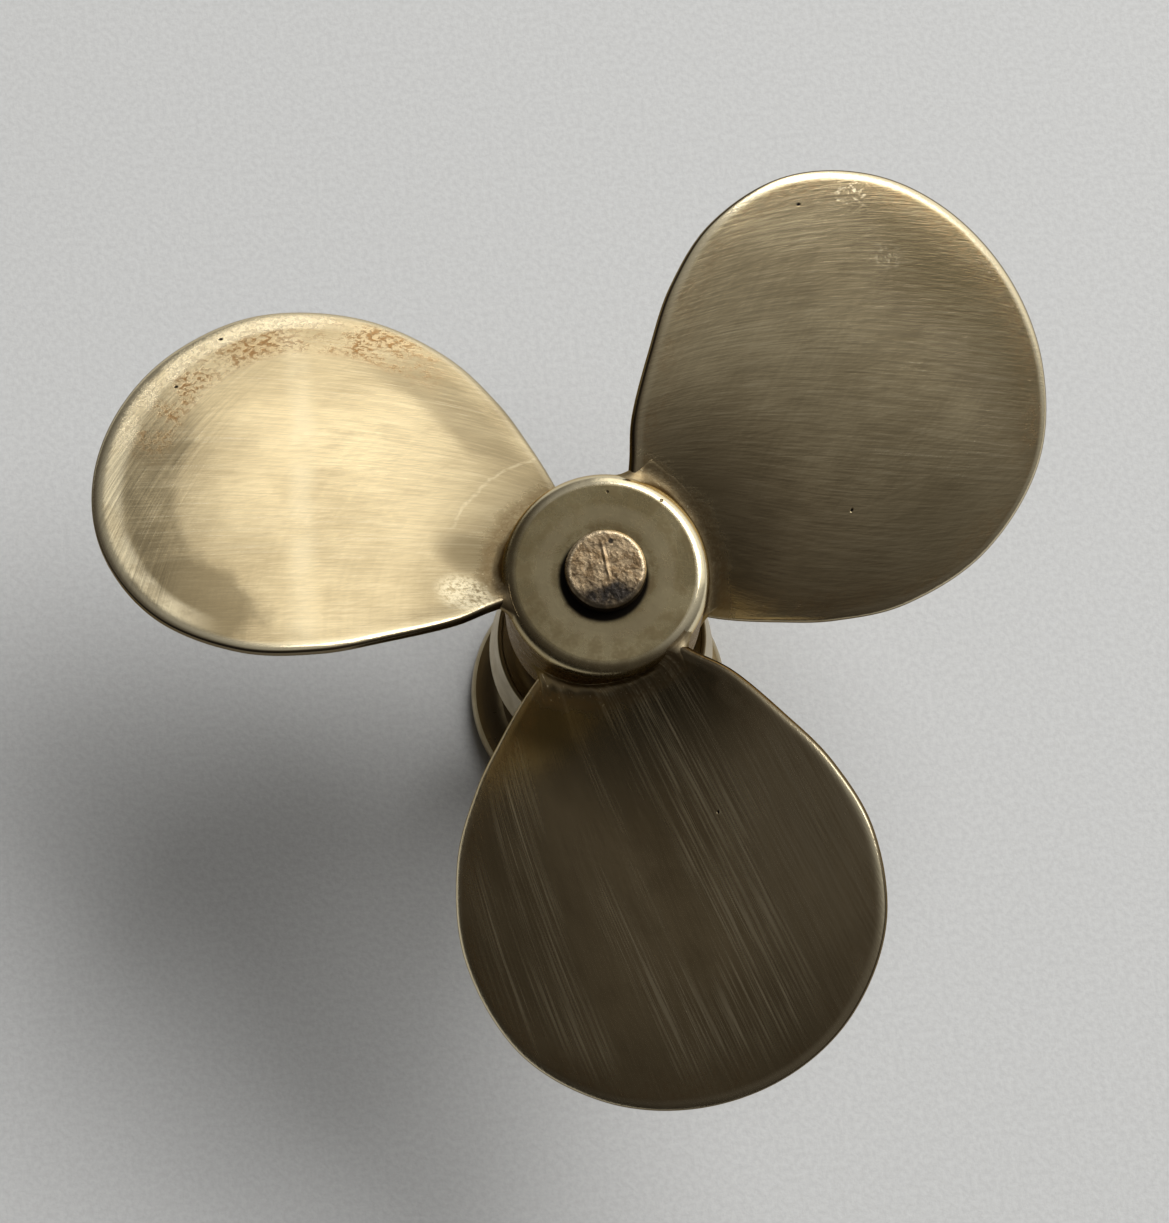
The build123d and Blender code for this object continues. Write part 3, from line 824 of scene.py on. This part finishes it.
def satin_material(name, light, dark, ring_scale=None, painted_top_shade=0.0):
    """Evenly dulled turned metal with faint mottling, turning marks and painted shade on its tops.
    """
    s = Shader(name)
    mottle = s.noise(s.place, 160, 5, 0.6)
    grain = s.noise(s.place, 1500, 3, 0.6)
    rings = s.turning_marks(ring_scale) if ring_scale else s.noise(s.place, 60, 2, 0.5)
    facing_up = s.split(s.add("ShaderNodeTexCoord").outputs["Normal"])[2]
    base = s.layers(
        light,
        (s.ramp(mottle, 0.35, 0.68), dark),
        # Painted shade on the upward faces.
        (s.times(s.ramp(facing_up, 0.35, 0.75), painted_top_shade), PAINTED_TOP_SHADE_COLOUR))
    rough = s.sum((s.ramp(mottle, 0.3, 0.7), 0.12), (grain, 0.08), (1.0, 0.24))
    s.bump(s.sum((grain, 0.4), (rings, 0.8)), 0.05 * MM, 0.6)
    return s.finish(base, rough)


def hub_material():
    """Satin hub: a worn ring round the shaft, brown clouds, two pits, grime and painted shade round
    the shaft, a painted highlight on its edge, and painted shade on its side and towards +y.
    """
    s = Shader("hub_satin")
    s.bsdf.inputs["Specular Tint"].default_value = colour(0.55, 0.43, 0.28)
    x, y, z = s.split(s.place)
    away = s.axis_distance()
    cloud = s.noise(s.place, 110, 4, 0.6)
    mottle = s.noise(s.place, 420, 5, 0.65)
    grain = s.noise(s.place, 2200, 3, 0.6)
    rings = s.turning_marks(1500)
    flat_r, barrel_top = HUB_R - HUB_EDGE_R, FACE_Z - HUB_EDGE_R

    worn = s.times(s.band_mm(away, 8.8, 10.2, 1.2), s.ramp(cloud, 0.3, 0.6, 0.35, 0.8))
    # Dark brown round the shaft: grime, and painted shade next to the shaft.
    stain = s.times(s.ramp_mm(away, 9.0, 6.6), s.ramp(mottle, 0.35, 0.6))
    # Painted highlight on the rounded edge, strongest on the side towards the light.
    edge = s.times(s.ramp(away, flat_r, flat_r + 0.5 * MM),
                   s.ramp(z, barrel_top - 0.8 * MM, barrel_top),
                   s.ramp_mm(s.sum((x, 0.8), (y, 0.6)), -6, 4, 0.15, 1.0))
    # Painted shade on the hub's side below its rounded edge.
    painted_barrel_shade = s.ramp(z, barrel_top - 0.3 * MM, barrel_top - 1.3 * MM)
    # Painted shadow round the shaft, wider towards -x and -y.
    painted_gap_shadow = s.ramp_mm(s.sum((away, 1.0), (y, 0.11), (x, 0.05)), 7.4, 6.6)
    holes = s.most(s.spot(1.6, 12.8, 0.28), s.spot(9.85, 10.6, 0.35))
    on_face = s.ramp(z, FACE_Z - 1.2 * MM, FACE_Z - 0.8 * MM)

    base = s.layers(
        colour(0.54, 0.45, 0.26),
        (s.ramp(cloud, 0.38, 0.62), colour(0.38, 0.305, 0.165)),
        (s.ramp(mottle, 0.45, 0.64, 0.0, 0.60), colour(0.27, 0.20, 0.10)),
        # Painted shade, darker towards +y across the face.
        (s.ramp_mm(y, -3, 13, 0.0, 0.42), colour(0.30, 0.235, 0.115)),
        (s.times(worn, 0.5), colour(0.66, 0.55, 0.34)),
        # Grime and painted shade round the shaft.
        (s.times(stain, 0.55), colour(0.16, 0.105, 0.05)),
        # Painted highlight on the edge.
        (s.times(edge, 0.9), BRASS_BRIGHT),
        # Painted shade on the hub's side.
        (s.times(painted_barrel_shade, 0.88), colour(0.20, 0.145, 0.078)),
        # Painted shadow round the shaft.
        (painted_gap_shadow, colour(0.010, 0.008, 0.006)),
        (s.times(holes, on_face), DARK))
    rough = s.sum((s.ramp(mottle, 0.3, 0.7), 0.09), (grain, 0.07), (worn, -0.05), (edge, -0.10),
                  (painted_gap_shadow, 0.25), (1.0, 0.20))
    s.bump(s.sum((grain, 0.35), (rings, 0.35), (mottle, 0.7), (holes, -3.0)), 0.04 * MM, 0.7)
    return s.finish(base, rough)


def shaft_material():
    """Bronze shaft: brown patina on the end, mottled and darker towards -y, a worn bevel with a
    painted highlight towards +y, and painted shade on its side just below the end.
    """
    s = Shader("shaft_patina")
    _, y, z = s.split(s.place)
    away = s.axis_distance()
    patches = s.noise(s.place, 520, 5, 0.65, distortion=0.5)
    dark_mottle = s.noise(s.mapped(shift=(0.2, 0.4, 0)), 300, 4, 0.6)
    fine = s.noise(s.place, 2600, 4, 0.65)
    top = shaft_high.z

    low = s.sum((s.ramp_mm(y, -0.8, -4.2), 0.34), (dark_mottle, 0.8), (patches, 0.45))
    # The worn bevel, lighter towards +y as a painted highlight.
    bevel = s.times(s.ramp(away, SHAFT_R - 1.1 * MM, SHAFT_R - 0.7 * MM),
                    s.ramp(z, top - 1.4 * MM, top - 0.9 * MM), s.ramp_mm(y, -4.5, 0, 0.25, 1.0))
    # Painted shade on the shaft's side just below its end.
    painted_wall_shade = s.times(s.ramp(away, SHAFT_R - 0.3 * MM, SHAFT_R - 0.1 * MM),
                   s.ramp(z, top - 0.9 * MM, top - 1.4 * MM))

    base = s.layers(
        colour(0.56, 0.42, 0.26),
        (s.ramp(patches, 0.40, 0.60), colour(0.30, 0.205, 0.11)),
        (s.ramp(fine, 0.58, 0.70), colour(0.74, 0.58, 0.40)),
        (s.ramp(low, 0.72, 0.98), colour(0.075, 0.064, 0.055)),
        (s.spot(1.2, 4.2, 0.55), colour(0.05, 0.04, 0.03)),
        # Worn bevel with a painted highlight towards +y.
        (s.times(bevel, 0.85), colour(0.80, 0.64, 0.42)),
        # Painted shade on the side wall.
        (painted_wall_shade, colour(0.05, 0.038, 0.025)))
    rough = s.sum((s.ramp(fine, 0.3, 0.7), 0.18), (bevel, -0.10), (painted_wall_shade, 0.2), (1.0, 0.30))
    s.bump(s.sum((patches, 0.7), (fine, 0.5)), 0.22 * MM, 0.7)
    return s.finish(base, rough)


def steel_material():
    """Plain stainless steel, its grain drawn out round the axis."""
    s = Shader("stainless_steel")
    grain = s.noise(s.mapped(stretch=(1, 1, 6)), 900, 4, 0.6)
    base = s.mix(s.ramp(grain, 0.3, 0.7), colour(0.62, 0.61, 0.59), colour(0.45, 0.45, 0.44))
    s.bump(grain, 0.04 * MM, 0.5)
    return s.finish(base, s.ramp(grain, 0.3, 0.7, 0.24, 0.36))


def floor_material():
    """Pale, finely mottled surface."""
    s = Shader("pale_floor", metallic=0.0)
    grain = s.noise(s.place, 900, 3, 0.6)
    base = s.mix(s.ramp(grain, 0.3, 0.7), colour(0.295, 0.297, 0.296), colour(0.325, 0.328, 0.327))
    s.bump(grain, 0.2 * MM, 0.35)
    return s.finish(base, 0.75)


def assign(piece, material):
    piece.data.materials.clear()
    piece.data.materials.append(material)


# ---- Room ---------------------------------------------------------------------------------
FLOOR_HALF = 12.0
ROOM_LIGHT = (                   # nearness of a direction to the lightest side, and its light
    (-0.75, 0.012), (-0.35, 0.04), (-0.1, 0.065), (0.2, 0.065), (0.4, 0.11), (0.6, 0.22),
    (0.8, 0.34), (0.98, 0.50))
LIGHT_SIDE = (40, 35)            # azimuth and elevation of the room's lightest side, in degrees
WINDOW_AZIMUTH = (4, 84, 5)      # where it starts and ends, and its softness, in degrees
WINDOW_ELEVATION = (-6, 38, 4)
WINDOW_DIM_SIDE = (56, 73)       # azimuths between which the window's dimmer side ends
WINDOW_LIGHT = colour(1.32, 1.29, 1.22)
HORIZON_ELEVATION = (-30, 4, 7)
HORIZON_LIGHT = colour(0.34, 0.335, 0.32)
PANEL_DISTANCE = 3.0
CAMERA_PLACE = (-13.7, -83.8, 377.8)   # millimetres from the middle of the hub's face
CAMERA_ANGLES = (11.749, -0.276, -5.848)
CAMERA_LENS = 73.6               # on a 36 mm wide sensor


def make_floor():
    size = FLOOR_HALF
    corners = [(-size, -size, 0), (size, -size, 0), (size, size, 0), (-size, size, 0)]
    floor = add_mesh("floor", corners, [(0, 1, 2, 3)], closed=False)
    assign(floor, floor_material())


def direction(azimuth, elevation):
    """The direction at these angles, in degrees."""
    a, e = radians(azimuth), radians(elevation)
    return Vector((cos(e) * cos(a), cos(e) * sin(a), sin(e)))


def add_panel(name, azimuth, elevation, size, power, tint, glossy=True):
    """A rectangular light turned to the hub's face; without glossy, mirrors don't show it."""
    data = bpy.data.lights.new(name, "AREA")
    data.shape = "RECTANGLE"
    data.size, data.size_y = size
    data.energy = power
    data.color = tint
    panel = bpy.data.objects.new(name, data)
    panel.visible_glossy = glossy
    bpy.context.scene.collection.objects.link(panel)
    way = direction(azimuth, elevation)
    panel.location = Vector((0, 0, FACE_Z)) + way * PANEL_DISTANCE
    panel.rotation_euler = (-way).to_track_quat("-Z", "Y").to_euler()


def tinted(level):
    """Light of the room at a level: warm where it is dim, neutral where it is bright."""
    warmth = max(0.0, 1 - level / 0.2)
    return colour(level, level * (0.99 - 0.13 * warmth), level * (0.97 - 0.25 * warmth))


def room_walls(n, nearness):
    """The room's light by a direction's nearness to its lightest side, from -1 to 1."""
    walls = n.add("ShaderNodeValToRGB")
    n.wire(n.sum((nearness, 0.5), (1.0, 0.5)), walls.inputs["Fac"])
    stops = walls.color_ramp.elements
    for stop, (position, level) in zip((stops[0], stops[1]), (ROOM_LIGHT[0], ROOM_LIGHT[-1])):
        stop.position, stop.color = position / 2 + 0.5, tinted(level)
    for position, level in ROOM_LIGHT[1:-1]:
        stops.new(position / 2 + 0.5).color = tinted(level)
    return walls.outputs["Color"]


def make_world():
    """A dim room that is lighter towards the window's side, with the window's lower part."""
    world = bpy.data.worlds.new("room")
    bpy.context.scene.world = world
    world.use_nodes = True
    n = Nodes(world.node_tree)
    way = n.add("ShaderNodeTexCoord").outputs["Generated"]
    toward = n.add("ShaderNodeVectorMath", operation="DOT_PRODUCT")
    toward.inputs[1].default_value = direction(*LIGHT_SIDE)
    n.wire(way, toward.inputs[0])
    nearness = toward.outputs["Value"]

    x, y, z = n.split(way)
    azimuth = n.math("ARCTAN2", y, x)
    height = n.math("ARCSINE", z)
    dim_from, dim_to = WINDOW_DIM_SIDE
    pane = n.times(n.ramp(azimuth, radians(dim_from), radians(dim_to), 0.6, 1.0),
                   n.band_degrees(azimuth, *WINDOW_AZIMUTH),
                   n.band_degrees(height, *WINDOW_ELEVATION))
    horizon = n.band_degrees(height, *HORIZON_ELEVATION)
    light = n.layers(
        room_walls(n, nearness),
        (pane, WINDOW_LIGHT),
        (n.times(horizon, n.ramp(nearness, 0.0, 0.5), 0.6), HORIZON_LIGHT))
    background = n.tree.nodes["Background"]
    n.wire(light, background.inputs["Color"])
    background.inputs["Strength"].default_value = 1.0


def make_camera():
    """The viewing angle: above the hub's face, a little below and left of its axis."""
    data = bpy.data.cameras.new("camera")
    data.lens = CAMERA_LENS
    data.sensor_width = 36
    camera = bpy.data.objects.new("camera", data)
    bpy.context.scene.collection.objects.link(camera)
    camera.location = Vector(CAMERA_PLACE) * MM + Vector((0, 0, FACE_Z))
    camera.rotation_euler = Euler([radians(a) for a in CAMERA_ANGLES])
    bpy.context.scene.camera = camera


def dress():
    """Gives every piece its material."""
    for number, looks in BLADE_LOOKS.items():
        brass = blade_material(number, **looks)
        assign(make_blade(number), brass)
        assign(make_bead(number), brass)
    assign(make_shaft(), shaft_material())
    stand = satin_material("stand_satin", colour(0.56, 0.46, 0.27), colour(0.46, 0.37, 0.205),
                           ring_scale=1800, painted_top_shade=0.85)
    bronze = satin_material("bearing_bronze", colour(0.66, 0.50, 0.29), colour(0.52, 0.38, 0.21))
    by_slot = {"hub_brass": hub_material(), "stand_brass": stand, "bearing_bronze": bronze,
               "fastener_steel": steel_material()}
    for row in frame["record"]["subparts"]:
        if row["material_slot"] in by_slot:
            assign(frame["nodes"][row["node"]], by_slot[row["material_slot"]])


dress()
make_floor()
make_world()
add_panel("window", azimuth=42, elevation=49, size=(2.4, 1.1), power=32, tint=(1.0, 0.99, 0.97))
add_panel("key", azimuth=36, elevation=57, size=(2.5, 1.4), power=172, tint=(1.0, 0.993, 0.98),
          glossy=False)
bpy.context.scene.view_settings.view_transform = "Standard"
make_camera()
